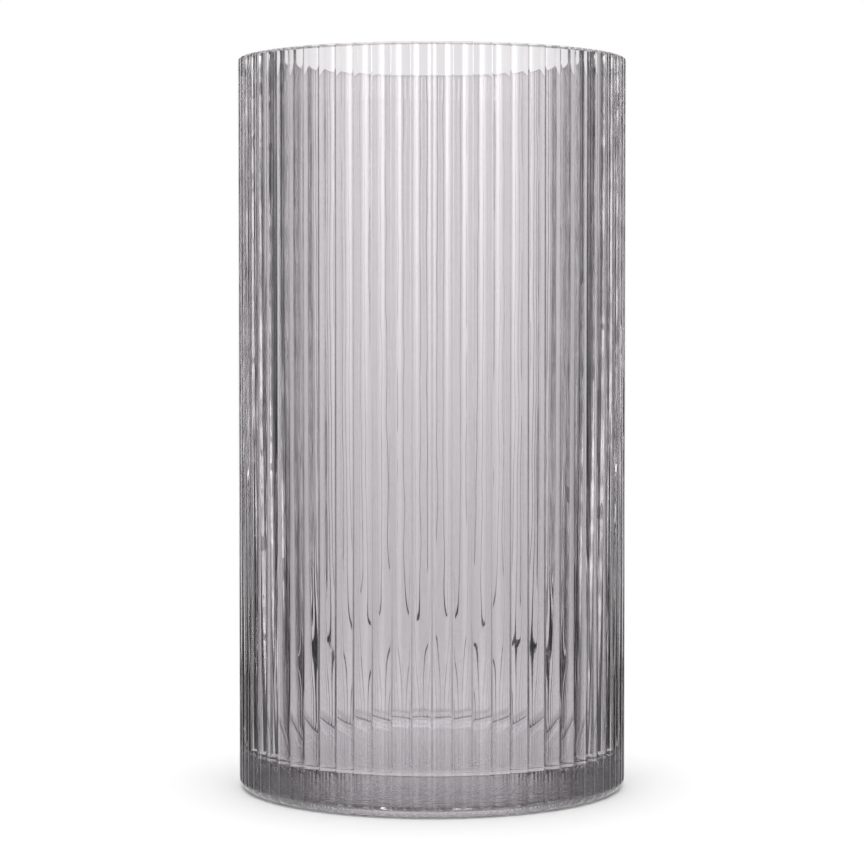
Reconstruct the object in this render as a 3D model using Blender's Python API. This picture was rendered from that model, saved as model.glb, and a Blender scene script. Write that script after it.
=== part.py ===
# Ribbed glass cylinder vase, one piece of pressed smoke-grey glass: a straight fluted wall on a thick base.
# Metres, +Z up. The origin is the centre of the foot, in the plane that the vase stands on.

import math

import bmesh
import bpy

HEIGHT = 0.300
CREST_RADIUS = 0.080  # axis to the crest of a rib

RIB_COUNT = 64
RIB_DEPTH = 0.0006
POINTS_PER_RIB = 4

RIM_WALL = 0.0038  # crest to bore at the mouth
FOOT_WALL = 0.0066
WALL_GROWTH = 3  # the wall thickens with this power of the depth below the rim
RIM_ROUND = 0.0012  # polished edge on both sides of the rim
HEEL_ROUND = 0.0035

FLOOR_THICKNESS = 0.015
FLOOR_FILLET = 0.004
STANDING_RING_WIDTH = 0.010
RECESS_SLOPE_WIDTH = 0.006  # from the standing ring in to the full depth of the recess
RECESS_DEPTH = 0.0018  # hollow of the underside inside the standing ring

BORE_SEGMENTS = 128
ROUND_STEPS = 3
FILLET_STEPS = 4
BORE_STEPS = 5
CUTTER_OVERSHOOT = 0.010  # how far a cutter runs out of the glass
SHARP_ANGLE = math.radians(35)
AXIS_MERGE = 0.00001


def clear_scene():
    for old in list(bpy.data.objects):
        bpy.data.objects.remove(old, do_unlink=True)


def smoke_glass():
    material = bpy.data.materials.new("smoke_glass")
    material.use_nodes = True
    shader = material.node_tree.nodes["Principled BSDF"]
    shader.inputs["Base Color"].default_value = (0.61, 0.59, 0.61, 1)
    shader.inputs["Roughness"].default_value = 0.03
    shader.inputs["Metallic"].default_value = 0
    shader.inputs["IOR"].default_value = 1.52
    shader.inputs["Transmission Weight"].default_value = 1
    return material


def quarter(step, steps):
    return math.radians(90) * step / steps


def rib_height(angle):
    """Height of the outline above the groove at this angle: one shallow parabola for each rib."""
    across = (angle * RIB_COUNT / math.tau) % 1  # 0 and 1 are grooves, 0.5 is the crest
    return RIB_DEPTH * (1 - (2 * across - 1) ** 2)


def bore_radius(z):
    depth = (HEIGHT - z) / (HEIGHT - FLOOR_THICKNESS)
    return CREST_RADIUS - RIM_WALL - (FOOT_WALL - RIM_WALL) * depth**WALL_GROWTH


def add_outline(bm, z, crest, fluting=1.0, limit=CREST_RADIUS):
    """One ring of the fluted outline; fluting scales the ribs, and limit cuts their crests off round."""
    ring = bmesh.ops.create_circle(bm, segments=RIB_COUNT * POINTS_PER_RIB, radius=crest)["verts"]
    groove = crest - RIB_DEPTH * fluting
    for vert in ring:
        angle = math.atan2(vert.co.y, vert.co.x)
        radius = min(groove + rib_height(angle) * fluting, limit)
        vert.co = (radius * math.cos(angle), radius * math.sin(angle), z)
    return ring


def outline_levels():
    """Height, crest radius, fluting and limit of each ring, from the standing ring up to the rim."""
    for step in range(ROUND_STEPS + 1):
        turn = quarter(step, ROUND_STEPS)  # the ribs die out around the heel
        crest = CREST_RADIUS - HEEL_ROUND * (1 - math.sin(turn))
        yield HEEL_ROUND * (1 - math.cos(turn)), crest, math.sin(turn), CREST_RADIUS
    for step in range(ROUND_STEPS):
        turn = quarter(step, ROUND_STEPS - 1)  # the polished edge cuts straight across the ribs
        limit = CREST_RADIUS - RIM_ROUND * (1 - math.cos(turn))
        yield HEIGHT - RIM_ROUND * (1 - math.sin(turn)), CREST_RADIUS, 1.0, limit


def fluted_billet():
    """The outside of the vase as a solid billet."""
    bm = bmesh.new()
    below = None
    for z, crest, fluting, limit in outline_levels():
        ring = add_outline(bm, z, crest, fluting, limit)
        edges = [bm.edges.get((vert, ring[i - 1])) for i, vert in enumerate(ring)]
        if below is None:
            bm.faces.new(ring)
        else:
            bmesh.ops.bridge_loops(bm, edges=below + edges)
        below = edges
    bm.faces.new(ring)
    bmesh.ops.recalc_face_normals(bm, faces=bm.faces)
    mesh = bpy.data.meshes.new("ribbed_glass_body")
    bm.to_mesh(mesh)
    bm.free()
    return add_object("ribbed_glass_body", mesh)


def add_object(name, mesh):
    created = bpy.data.objects.new(name, mesh)
    bpy.context.scene.collection.objects.link(created)
    return created


def turned_cutter(name, profile):
    """A closed cutter from a profile of (radius, z) points, which runs from its top down its outer side."""
    mesh = bpy.data.meshes.new(name)
    points = [(radius, 0, z) for radius, z in profile]
    mesh.from_pydata(points, [(i, i + 1) for i in range(len(points) - 1)], [])
    cutter = add_object(name, mesh)
    screw = cutter.modifiers.new("turn", "SCREW")
    screw.steps = BORE_SEGMENTS
    screw.render_steps = BORE_SEGMENTS
    screw.use_merge_vertices = True
    screw.merge_threshold = AXIS_MERGE
    cutter.hide_render = True
    cutter.display_type = "WIRE"
    return cutter


def bore_profile():
    """The inside of the vase: rounded rim, tapering bore, floor fillet and flat floor."""
    top = HEIGHT + CUTTER_OVERSHOOT
    mouth = bore_radius(HEIGHT) + RIM_ROUND
    profile = [(0, top), (mouth, top)]
    for step in range(ROUND_STEPS):
        turn = quarter(step, ROUND_STEPS - 1)
        profile.append((mouth - RIM_ROUND * math.sin(turn), HEIGHT - RIM_ROUND * (1 - math.cos(turn))))
    fillet_top = FLOOR_THICKNESS + FLOOR_FILLET
    drop = HEIGHT - RIM_ROUND - fillet_top
    for step in range(1, BORE_STEPS):
        z = HEIGHT - RIM_ROUND - drop * step / BORE_STEPS
        profile.append((bore_radius(z), z))
    fillet_centre = bore_radius(fillet_top) - FLOOR_FILLET
    for step in range(FILLET_STEPS + 1):
        turn = quarter(step, FILLET_STEPS)
        radius = fillet_centre + FLOOR_FILLET * math.cos(turn)
        profile.append((radius, fillet_top - FLOOR_FILLET * math.sin(turn)))
    profile.append((0, FLOOR_THICKNESS))
    return profile


def recess_profile():
    """The shallow hollow under the base, inside the ring that the vase stands on."""
    ring_inner = CREST_RADIUS - HEEL_ROUND - STANDING_RING_WIDTH
    return [
        (0, RECESS_DEPTH),
        (ring_inner - RECESS_SLOPE_WIDTH, RECESS_DEPTH),
        (ring_inner, 0),
        (ring_inner, -CUTTER_OVERSHOOT),
        (0, -CUTTER_OVERSHOOT),
    ]


def cut(body, cutter):
    modifier = body.modifiers.new(cutter.name, "BOOLEAN")
    modifier.operation = "DIFFERENCE"
    modifier.solver = "EXACT"
    modifier.object = cutter


clear_scene()
vase = fluted_billet()
vase.data.materials.append(smoke_glass())
cut(vase, turned_cutter("bore_cutter", bore_profile()))
cut(vase, turned_cutter("recess_cutter", recess_profile()))
vase.data.shade_smooth()
vase.data.set_sharp_from_angle(angle=SHARP_ANGLE)
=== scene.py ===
import math

import bmesh
import bpy
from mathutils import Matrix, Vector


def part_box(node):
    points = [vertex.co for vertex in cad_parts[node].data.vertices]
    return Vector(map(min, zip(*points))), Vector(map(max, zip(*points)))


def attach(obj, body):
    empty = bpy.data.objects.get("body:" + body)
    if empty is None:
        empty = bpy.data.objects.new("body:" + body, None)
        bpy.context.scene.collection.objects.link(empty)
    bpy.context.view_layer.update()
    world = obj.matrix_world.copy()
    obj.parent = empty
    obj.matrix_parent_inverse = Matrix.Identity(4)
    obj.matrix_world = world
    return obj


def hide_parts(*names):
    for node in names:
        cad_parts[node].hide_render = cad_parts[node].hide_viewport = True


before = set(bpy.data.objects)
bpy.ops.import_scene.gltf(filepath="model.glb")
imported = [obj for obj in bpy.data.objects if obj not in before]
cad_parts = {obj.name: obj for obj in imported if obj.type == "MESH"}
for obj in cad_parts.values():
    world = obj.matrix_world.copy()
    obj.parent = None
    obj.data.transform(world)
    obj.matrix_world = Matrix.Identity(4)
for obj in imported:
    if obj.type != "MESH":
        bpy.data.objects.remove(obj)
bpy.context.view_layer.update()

# Lengths are in metres and angles in degrees. A share runs from one groove (0) to the next (1).
node = "ribbed_glass_body"
nodeLow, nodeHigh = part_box(node)
height = nodeHigh[2] - nodeLow[2]

meshing = {
    "near": 0.00001,  # points this close to a level are on it
    "merge": 0.000001,
    "smoothBelow": 35,
    "flatRings": (0.045, 0.030, 0.015, 0.004),  # rings across a flat disc, so that no face is too long
}

wallSizes = {
    "ribs": 64,
    "ribDepth": 0.0006,  # crest above groove
    "grooveNick": 0.00015,  # sharpens the very bottom of a groove
    "segments": 1536,  # a whole, even number for each rib
    "rimRound": 0.0012,
    "heelRound": 0.0035,
    "heelSteps": 8,
    "rimSteps": 6,
    "holdLoop": 0.0004,  # a loop this close to a rounding keeps the straight glass flat
}

boreSizes = {
    "rimWall": 0.0038,  # glass thickness at the rim and at the floor
    "footWall": 0.0066,
    "thickening": 3,  # higher keeps the wall thin for longer
    "floor": 0.015,
    "floorFillet": 0.004,
    "filletSteps": 8,
    "firstFlatRing": 0.060,
    "segments": 512,
    "rows": 92,
    "rippleSlope": 0.31,  # the bore follows the ribs softly: steepest side of that ripple
    "ridgeShare": 0.155,  # half width of its rounded ridge behind a groove
    "rippleFull": 0.120,  # the ripple dies away between these two heights
    "rippleGone": 0.044,
    "rippleLeft": 0.04,
    "waviness": 0.00018,  # unevenness of the fire-polished bore
    "calmBelowRim": 0.02,
    "wavePatch": (0.010, 0.010, 0.030),
}

undersideSizes = {
    "ringWidth": 0.010,  # the foot stands on this ring
    "ringInset": 0.0003,
    "recess": 0.0018,
    "slopeWidth": 0.006,
    "slopeSteps": 5,
    "segments": 512,
}

# The grooves lie on the x axis, so the widest point of the box is half a rib away from it.
crestRadius = (nodeHigh[0] - nodeLow[0]) / 2 / math.cos(math.pi / wallSizes["ribs"])


def deselectAll():
    if bpy.context.object and bpy.context.object.mode != "OBJECT":
        bpy.ops.object.mode_set(mode="OBJECT")
    bpy.ops.object.select_all(action="DESELECT")


def startRing(name, segments, radius, z):
    deselectAll()
    bpy.ops.mesh.primitive_circle_add(vertices=segments, radius=radius, location=(0, 0, z))
    ring = bpy.context.object
    ring.name = name
    bpy.ops.object.transform_apply(location=True, rotation=True, scale=True)
    bpy.ops.object.mode_set(mode="EDIT")
    bpy.ops.mesh.select_all(action="SELECT")
    return ring


def pickVerts(obj, wanted):
    bpy.ops.mesh.select_all(action="DESELECT")
    bm = bmesh.from_edit_mesh(obj.data)
    for vert in bm.verts:
        if wanted(vert.co):
            vert.select_set(True)
    bm.select_flush_mode()
    bmesh.update_edit_mesh(obj.data)


def pickOpenEdges(obj, level):
    bpy.ops.mesh.select_all(action="DESELECT")
    bm = bmesh.from_edit_mesh(obj.data)
    for edge in bm.edges:
        if edge.is_boundary and abs(edge.verts[0].co.z - level) < meshing["near"]:
            edge.select_set(True)
    bmesh.update_edit_mesh(obj.data)


# Each step extrudes the open ring to the next height and resizes it to the next radius.
def followProfile(points, ripple=None):
    for (radius, z), (nextRadius, nextZ) in zip(points, points[1:]):
        bpy.ops.mesh.extrude_region_move(TRANSFORM_OT_translate={"value": (0, 0, nextZ - z)})
        scale = nextRadius / radius
        bpy.ops.transform.resize(value=(scale, scale, 1))
        if ripple and ripple(nextZ) < ripple(z):
            bpy.ops.transform.tosphere(value=1 - ripple(nextZ) / ripple(z))


def arc(centreRadius, centreZ, reach, start, end, steps):
    points = []
    for step in range(steps + 1):
        turn = math.radians(start + (end - start) * step / steps)
        points.append((centreRadius + reach * math.cos(turn), centreZ + reach * math.sin(turn)))
    return points


def fromGroove(co):
    turn = math.atan2(co.y, co.x) * wallSizes["ribs"] / math.tau
    return abs((turn + 0.5) % 1 - 0.5)  # 0 at a groove, 0.5 at a crest


def flute(ring, segments, rise):
    steps = segments // wallSizes["ribs"]
    for step in range(steps // 2 + 1):
        share = step / steps
        pickVerts(ring, lambda co, share=share: abs(fromGroove(co) - share) < 0.25 / steps)
        scale = 1 + rise(share)
        bpy.ops.transform.resize(value=(scale, scale, 1))
    bpy.ops.mesh.select_all(action="SELECT")


def wallRise(share):
    dip = wallSizes["ribDepth"] * (1 - 2 * share) ** 2
    if share == 0:
        dip += wallSizes["grooveNick"]
    return -dip / crestRadius


def makeWall():
    heel, rim, hold = wallSizes["heelRound"], wallSizes["rimRound"], wallSizes["holdLoop"]
    wall = startRing("flutedWall", wallSizes["segments"], crestRadius - heel, 0)
    flute(wall, wallSizes["segments"], wallRise)
    followProfile(arc(crestRadius - heel, heel, heel, -90, 0, wallSizes["heelSteps"]))
    levels = [heel, heel + hold, height / 2, height - rim - hold, height - rim]
    followProfile([(crestRadius, level) for level in levels])
    followProfile(arc(crestRadius - rim, height - rim, rim, 0, 90, wallSizes["rimSteps"]))
    bpy.ops.transform.tosphere(value=1)
    bpy.ops.object.mode_set(mode="OBJECT")
    return wall


def boreRadius(z):
    depth = (height - z) / (height - boreSizes["floor"])
    growth = (boreSizes["footWall"] - boreSizes["rimWall"]) * depth ** boreSizes["thickening"]
    return crestRadius - boreSizes["rimWall"] - growth


def ridgeRise(share):
    ridge = boreSizes["ridgeShare"]
    if share < ridge:
        return share * share / (2 * ridge)
    past = share - ridge
    return ridge / 2 + past - past * past / (1 - 2 * ridge)


def boreRise(share):
    middle = ridgeRise(0.5) / 2
    return (ridgeRise(share) - middle) * boreSizes["rippleSlope"] * math.tau / wallSizes["ribs"]


def rippleAt(z):
    full, gone = boreSizes["rippleFull"], boreSizes["rippleGone"]
    faded = min(1, max(0, (full - z) / (full - gone)))
    return 1 - (1 - boreSizes["rippleLeft"]) * faded ** 2


# A cloud texture stretched upwards pushes the bore in and out by a few hundredths of a millimetre.
def unsettle(obj, low, high):
    pickVerts(obj, lambda co: low < co.z < high)
    wavy = obj.vertex_groups.new(name="wavy")
    bpy.ops.object.vertex_group_assign()
    deselectAll()
    bpy.ops.object.empty_add(location=(0, 0, 0))
    patch = bpy.context.object
    patch.scale = boreSizes["wavePatch"]
    bpy.context.view_layer.update()
    deselectAll()
    obj.select_set(True)
    bpy.context.view_layer.objects.active = obj
    waves = bpy.data.textures.new("waves", "CLOUDS")
    waves.noise_scale = 1
    waves.noise_depth = 1
    push = obj.modifiers.new("waves", "DISPLACE")
    push.texture = waves
    push.texture_coords = "OBJECT"
    push.texture_coords_object = patch
    push.vertex_group = wavy.name
    push.strength = boreSizes["waviness"]
    bpy.ops.object.modifier_apply(modifier=push.name)
    bpy.data.objects.remove(patch)


def makeBore():
    rim, hold = wallSizes["rimRound"], wallSizes["holdLoop"]
    floor, fillet = boreSizes["floor"], boreSizes["floorFillet"]
    mouth = boreRadius(height) + rim
    bore = startRing("bore", boreSizes["segments"], mouth, height)
    flute(bore, boreSizes["segments"], boreRise)
    profile = arc(mouth, height - rim, rim, 90, 180, wallSizes["rimSteps"])
    top, bottom = height - rim - hold, floor + fillet + hold
    for row in range(boreSizes["rows"] + 1):
        z = top + (bottom - top) * row / boreSizes["rows"]
        profile.append((boreRadius(z), z))
    followProfile(profile, rippleAt)
    bpy.ops.transform.tosphere(value=1)
    turn = arc(boreRadius(bottom - hold) - fillet, bottom - hold, fillet, 0, -90, boreSizes["filletSteps"])
    flat = [(radius, floor) for radius in (boreSizes["firstFlatRing"], *meshing["flatRings"])]
    followProfile(profile[-1:] + turn + flat)
    bpy.ops.mesh.edge_face_add()
    unsettle(bore, floor + fillet, height - boreSizes["calmBelowRim"])
    return bore


def makeUnderside():
    inset = 2 * wallSizes["ribDepth"] + undersideSizes["ringInset"]
    ringOuter = crestRadius - wallSizes["heelRound"] - inset
    ringInner = ringOuter - undersideSizes["ringWidth"]
    recess, steps = undersideSizes["recess"], undersideSizes["slopeSteps"]
    under = startRing("underside", undersideSizes["segments"], ringOuter, 0)
    profile = [(ringOuter, 0), (ringInner, 0)]
    for step in range(1, steps + 1):
        radius = ringInner - undersideSizes["slopeWidth"] * step / steps
        profile.append((radius, recess * (1 - math.cos(math.pi * step / steps)) / 2))
    profile += [(radius, recess) for radius in meshing["flatRings"]]
    followProfile(profile)
    bpy.ops.mesh.edge_face_add()
    bpy.ops.object.mode_set(mode="OBJECT")
    return under


def makeVase():
    wall, bore, under = makeWall(), makeBore(), makeUnderside()
    deselectAll()
    for shell in (bore, under, wall):
        shell.select_set(True)
    bpy.context.view_layer.objects.active = wall
    bpy.ops.object.join()
    wall.name = "ribbedGlassVase"
    bpy.ops.object.mode_set(mode="EDIT")
    for level in (height, 0):
        pickOpenEdges(wall, level)
        bpy.ops.mesh.fill(use_beauty=True)
    bpy.ops.mesh.select_all(action="SELECT")
    bpy.ops.mesh.remove_doubles(threshold=meshing["merge"])
    bpy.ops.mesh.normals_make_consistent(inside=False)
    bpy.ops.object.mode_set(mode="OBJECT")
    bpy.ops.object.transform_apply(location=True, rotation=True, scale=True)
    bpy.ops.object.shade_smooth_by_angle(angle=math.radians(meshing["smoothBelow"]))
    wall.vertex_groups.clear()
    return wall


vase = makeVase()
print("vase modelled:", len(vase.data.vertices), "points,", len(vase.data.polygons), "faces")


def addNode(tree, kind, **settings):
    made = tree.nodes.new(kind)
    for name, value in settings.items():
        setattr(made, name, value)
    return made


def mapRange(tree, value, fromLow, fromHigh, toLow, toHigh, kind="LINEAR"):
    step = addNode(tree, "ShaderNodeMapRange", interpolation_type=kind)
    step.inputs["From Min"].default_value = fromLow
    step.inputs["From Max"].default_value = fromHigh
    step.inputs["To Min"].default_value = toLow
    step.inputs["To Max"].default_value = toHigh
    tree.links.new(value, step.inputs["Value"])
    return step.outputs["Result"]


def calculate(tree, kind, first, second=None):
    step = addNode(tree, "ShaderNodeMath", operation=kind)
    tree.links.new(first, step.inputs[0])
    if second is not None:
        tree.links.new(second, step.inputs[1])
    return step.outputs[0]


grainLook = {"detail": 2, "darkest": 0.3, "lightest": 0.7}


# Shared by the glass and the paper: fine noise, spread between a low and a high value.
def makeGrainGroup():
    group = bpy.data.node_groups.new("fineGrain", "ShaderNodeTree")
    for name, kind in (("Vector", "NodeSocketVector"), ("Scale", "NodeSocketFloat"),
                       ("Low", "NodeSocketFloat"), ("High", "NodeSocketFloat")):
        group.interface.new_socket(name=name, in_out="INPUT", socket_type=kind)
    group.interface.new_socket(name="Grain", in_out="OUTPUT", socket_type="NodeSocketFloat")
    group.interface.new_socket(name="Height", in_out="OUTPUT", socket_type="NodeSocketFloat")
    given = addNode(group, "NodeGroupInput")
    noise = addNode(group, "ShaderNodeTexNoise")
    noise.inputs["Detail"].default_value = grainLook["detail"]
    group.links.new(given.outputs["Vector"], noise.inputs["Vector"])
    group.links.new(given.outputs["Scale"], noise.inputs["Scale"])
    spread = addNode(group, "ShaderNodeMapRange")
    spread.inputs["From Min"].default_value = grainLook["darkest"]
    spread.inputs["From Max"].default_value = grainLook["lightest"]
    group.links.new(noise.outputs["Fac"], spread.inputs["Value"])
    group.links.new(given.outputs["Low"], spread.inputs["To Min"])
    group.links.new(given.outputs["High"], spread.inputs["To Max"])
    result = addNode(group, "NodeGroupOutput")
    group.links.new(spread.outputs["Result"], result.inputs["Grain"])
    group.links.new(noise.outputs["Fac"], result.inputs["Height"])
    return group


grainGroup = makeGrainGroup()


def addGrain(tree, vector, scale, low, high):
    grain = addNode(tree, "ShaderNodeGroup", node_tree=grainGroup)
    grain.inputs["Scale"].default_value = scale
    grain.inputs["Low"].default_value = low
    grain.inputs["High"].default_value = high
    tree.links.new(vector, grain.inputs["Vector"])
    return grain


def distanceFromAxis(tree, vector):
    flat = addNode(tree, "ShaderNodeVectorMath", operation="MULTIPLY")
    flat.inputs[1].default_value = (1, 1, 0)
    tree.links.new(vector, flat.inputs[0])
    reach = addNode(tree, "ShaderNodeVectorMath", operation="LENGTH")
    tree.links.new(flat.outputs[0], reach.inputs[0])
    return reach.outputs["Value"]


glassLook = {
    "tint": (0.868, 0.845, 0.864, 1),
    "ior": 1.52,
    "lustreIor": 1.7,  # thin reflective coat on the outside only
    "lustreEdge": (0.0782, 0.0785),  # it sets in between these distances from the axis
    "body": (0.80, 0.785, 0.80, 1),
    "bodyDensity": 17,
    "hazeScale": 90,
    "hazeRoughness": (0.0, 0.03),  # the faint film of handled glass
    "stippleScale": 620,
    "stippleRoughness": (0.05, 0.35),
    "stippleDepth": 0.0005,
    "stippleEdge": (0.0022, 0.0020),  # the stipple stays below these heights, on the underside
}


def glassMaterial():
    material = bpy.data.materials.new("smokeGlass")
    material.use_nodes = True
    tree = material.node_tree
    shader = tree.nodes["Principled BSDF"]
    shader.inputs["Base Color"].default_value = glassLook["tint"]
    shader.inputs["IOR"].default_value = glassLook["ior"]
    shader.inputs["Transmission Weight"].default_value = 1
    shader.inputs["Coat IOR"].default_value = glassLook["lustreIor"]
    shader.inputs["Coat Roughness"].default_value = 0
    body = addNode(tree, "ShaderNodeVolumeAbsorption")
    body.inputs["Color"].default_value = glassLook["body"]
    body.inputs["Density"].default_value = glassLook["bodyDensity"]
    tree.links.new(body.outputs["Volume"], tree.nodes["Material Output"].inputs["Volume"])
    place = addNode(tree, "ShaderNodeTexCoord").outputs["Object"]
    apart = addNode(tree, "ShaderNodeSeparateXYZ")
    tree.links.new(place, apart.inputs[0])
    lustre = mapRange(tree, distanceFromAxis(tree, place), *glassLook["lustreEdge"], 0, 1)
    tree.links.new(lustre, shader.inputs["Coat Weight"])
    under = mapRange(tree, apart.outputs["Z"], *glassLook["stippleEdge"], 0, 1)
    grain = addGrain(tree, place, glassLook["stippleScale"], *glassLook["stippleRoughness"])
    haze = addGrain(tree, place, glassLook["hazeScale"], *glassLook["hazeRoughness"])
    stipple = calculate(tree, "MULTIPLY", grain.outputs["Grain"], under)
    rough = calculate(tree, "ADD", stipple, haze.outputs["Grain"])
    tree.links.new(rough, shader.inputs["Roughness"])
    bump = addNode(tree, "ShaderNodeBump")
    bump.inputs["Distance"].default_value = glassLook["stippleDepth"]
    tree.links.new(under, bump.inputs["Strength"])
    tree.links.new(grain.outputs["Height"], bump.inputs["Height"])
    tree.links.new(bump.outputs["Normal"], shader.inputs["Normal"])
    return material


vase.data.materials.clear()
vase.data.materials.append(glassMaterial())
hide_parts(node)
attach(vase, "root")
print("glass finished")

paperLook = {
    "radius": 0.5,
    "sides": 96,
    "gap": 0.0005,
    "colour": (0.9, 0.9, 0.9, 1),
    "grainScale": 900,
    "roughness": (0.82, 0.95),
    "grainDepth": 0.00003,
    "fadeFrom": 0.09,  # the paper fades into the background between these distances
    "fadeTo": 0.30,
}


def paperMaterial():
    paper = bpy.data.materials.new("palePaper")
    paper.use_nodes = True
    tree = paper.node_tree
    shader = tree.nodes["Principled BSDF"]
    shader.inputs["Base Color"].default_value = paperLook["colour"]
    place = addNode(tree, "ShaderNodeTexCoord").outputs["Object"]
    grain = addGrain(tree, place, paperLook["grainScale"], *paperLook["roughness"])
    tree.links.new(grain.outputs["Grain"], shader.inputs["Roughness"])
    bump = addNode(tree, "ShaderNodeBump")
    bump.inputs["Distance"].default_value = paperLook["grainDepth"]
    tree.links.new(grain.outputs["Height"], bump.inputs["Height"])
    tree.links.new(bump.outputs["Normal"], shader.inputs["Normal"])
    reach = distanceFromAxis(tree, place)
    away = mapRange(tree, reach, paperLook["fadeFrom"], paperLook["fadeTo"], 0, 1, "SMOOTHSTEP")
    clear = addNode(tree, "ShaderNodeBsdfTransparent")
    mixed = addNode(tree, "ShaderNodeMixShader")
    tree.links.new(away, mixed.inputs[0])
    tree.links.new(shader.outputs[0], mixed.inputs[1])
    tree.links.new(clear.outputs[0], mixed.inputs[2])
    tree.links.new(mixed.outputs[0], tree.nodes["Material Output"].inputs["Surface"])
    return paper


def makePaper():
    deselectAll()
    sides, radius, gap = paperLook["sides"], paperLook["radius"], paperLook["gap"]
    bpy.ops.mesh.primitive_circle_add(vertices=sides, radius=radius, fill_type="NGON", location=(0, 0, -gap))
    paper = bpy.context.object
    paper.name = "paleFloor"
    bpy.ops.object.transform_apply(location=True, rotation=True, scale=True)
    paper.visible_transmission = False
    paper.visible_glossy = False
    paper.data.materials.append(paperMaterial())
    return paper


makePaper()

# Azimuths run from the front (-90) over either side (0) to straight behind the vase (90).
studio = {
    "backRing": [(90, 1.05), (70, 1.05), (67, 0.02), (40, 0.02), (37, 0.75), (32, 0.75), (29, 0.02),
                 (18, 0.02), (13, 0.2), (-13, 0.2), (-18, 0.03), (-90, 0.03)],
    "boxRing": [(-74, 0.0), (-67, 1.0), (-58, 0.9), (-50, 0.3), (-40, 0.1), (4, 0.1), (12, 0.0)],
    "backDims": (-8, -1),  # the background is dimmer below these elevations
    "backLow": 0.86,
    "boxRises": (-3, 5),  # the soft boxes grow brighter between these elevations
    "boxLow": 0.45,
    "boxHigh": 3.0,
    "groundFade": (-20, -12),
    "ground": 0.7,
    "upperFade": (26, 36),
    "upper": 0.2,
    "skyFade": (45, 60),
    "sky": 3.0,
    "seen": 1.0,
}


def byElevation(tree, rise, angles, low=0, high=1, kind="SMOOTHSTEP"):
    start, end = (math.sin(math.radians(angle)) for angle in angles)
    return mapRange(tree, rise, start, end, low, high, kind)


def blend(tree, factor, first, second):
    mix = addNode(tree, "ShaderNodeMix", data_type="FLOAT")
    for socket, given in ((mix.inputs[0], factor), (mix.inputs[2], first), (mix.inputs[3], second)):
        if isinstance(given, (int, float)):
            socket.default_value = given
        else:
            tree.links.new(given, socket)
    return mix.outputs[0]


def ringLight(tree, around, stops, name):
    ramp = addNode(tree, "ShaderNodeValToRGB", name=name, label=name)
    tree.links.new(around, ramp.inputs["Fac"])
    elements = ramp.color_ramp.elements
    while len(elements) > 1:
        elements.remove(elements[-1])
    for index, (azimuth, level) in enumerate(sorted(stops)):
        place = (azimuth + 90) / 180
        element = elements[0] if index == 0 else elements.new(place)
        element.position = place
        element.color = (level, level, level, 1)
    return ramp.outputs["Color"]


def makeStudio():
    world = bpy.data.worlds.new("studio")
    bpy.context.scene.world = world
    world.use_nodes = True
    tree = world.node_tree
    apart = addNode(tree, "ShaderNodeSeparateXYZ")
    tree.links.new(addNode(tree, "ShaderNodeTexCoord").outputs["Generated"], apart.inputs[0])
    rise = apart.outputs["Z"]
    side = calculate(tree, "ABSOLUTE", apart.outputs["X"])
    azimuth = calculate(tree, "ARCTAN2", apart.outputs["Y"], side)
    around = mapRange(tree, azimuth, -math.pi / 2, math.pi / 2, 0, 1)
    back = ringLight(tree, around, studio["backRing"], "backRing")
    dimmed = byElevation(tree, rise, studio["backDims"], studio["backLow"], 1)
    boxes = ringLight(tree, around, studio["boxRing"], "boxRing")
    boxLevel = byElevation(tree, rise, studio["boxRises"], studio["boxLow"], studio["boxHigh"], "LINEAR")
    lit = calculate(tree, "ADD", calculate(tree, "MULTIPLY", back, dimmed),
                    calculate(tree, "MULTIPLY", boxes, boxLevel))
    lit = blend(tree, byElevation(tree, rise, studio["upperFade"]), lit, studio["upper"])
    lit = blend(tree, byElevation(tree, rise, studio["groundFade"]), studio["ground"], lit)
    lit = blend(tree, byElevation(tree, rise, studio["skyFade"]), lit, studio["sky"])
    path = addNode(tree, "ShaderNodeLightPath")
    lit = blend(tree, path.outputs["Is Camera Ray"], lit, studio["seen"])
    background = tree.nodes["Background"]
    background.inputs["Color"].default_value = (1, 1, 1, 1)
    tree.links.new(lit, background.inputs["Strength"])


makeStudio()
print("studio lit")

view = {"distance": 1.12, "eyeHeight": 0.199, "lens": 112.6, "film": 36, "shift": -0.04, "tilt": 1.971}


def makeCamera():
    data = bpy.data.cameras.new("camera")
    data.lens = view["lens"]
    data.sensor_width = view["film"]
    data.shift_y = view["shift"]
    camera = bpy.data.objects.new("camera", data)
    bpy.context.scene.collection.objects.link(camera)
    camera.location = (0, -view["distance"], view["eyeHeight"])
    camera.rotation_euler = (math.radians(90 - view["tilt"]), 0, 0)
    bpy.context.scene.camera = camera


makeCamera()
bpy.context.scene.view_settings.view_transform = "Standard"
print("camera set")
